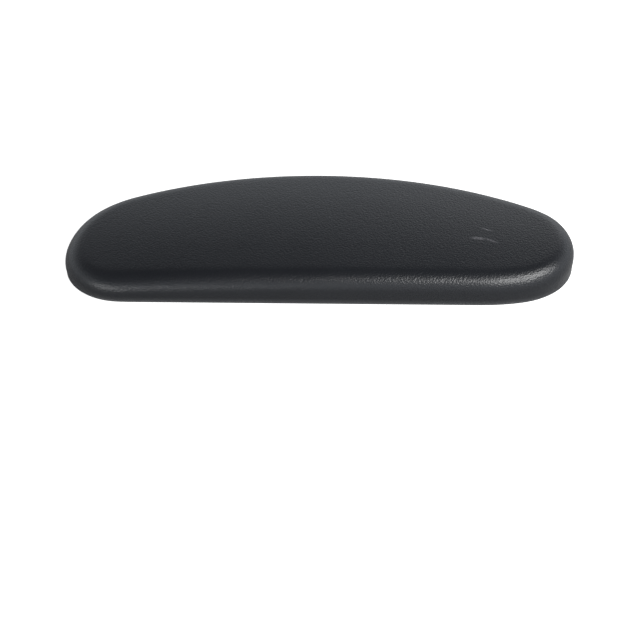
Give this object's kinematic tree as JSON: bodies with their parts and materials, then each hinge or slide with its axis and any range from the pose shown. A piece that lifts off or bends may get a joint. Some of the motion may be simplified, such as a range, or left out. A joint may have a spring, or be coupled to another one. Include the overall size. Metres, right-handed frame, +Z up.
{
  "type": "chair armrest pad",
  "caption": "Moulded soft armrest pad with a straight edge, an arched edge, a gently crowned grained top and a flat screw-on underside.",
  "frame": {"origin": "middle of the underside, which is also the middle of the screw pattern", "axes": "+X along the pad towards its thicker end, +Y towards the arched edge, +Z up out of the soft top"},
  "size_m": [0.265, 0.098, 0.02],
  "materials": {
    "grained_skin": "black self-skinned polyurethane, satin, with a fine moulded leather grain",
    "foam": "dark grey semi-rigid polyurethane foam, matte",
    "nylon": "black glass-filled nylon, moulded, satin",
    "zinc_steel": "bright zinc-plated steel",
    "soft_cap": "natural polyethylene, moulded, waxy"
  },
  "bodies": {
    "root": {"pu_skin": "grained_skin", "foam_core": "foam", "insert_board": "nylon", "tee_nut_1": "zinc_steel", "tee_nut_2": "zinc_steel", "tee_nut_3": "zinc_steel", "tee_nut_4": "zinc_steel", "nut_cap_1": "soft_cap", "nut_cap_2": "soft_cap", "nut_cap_3": "soft_cap", "nut_cap_4": "soft_cap"}
  },
  "joints": []
}
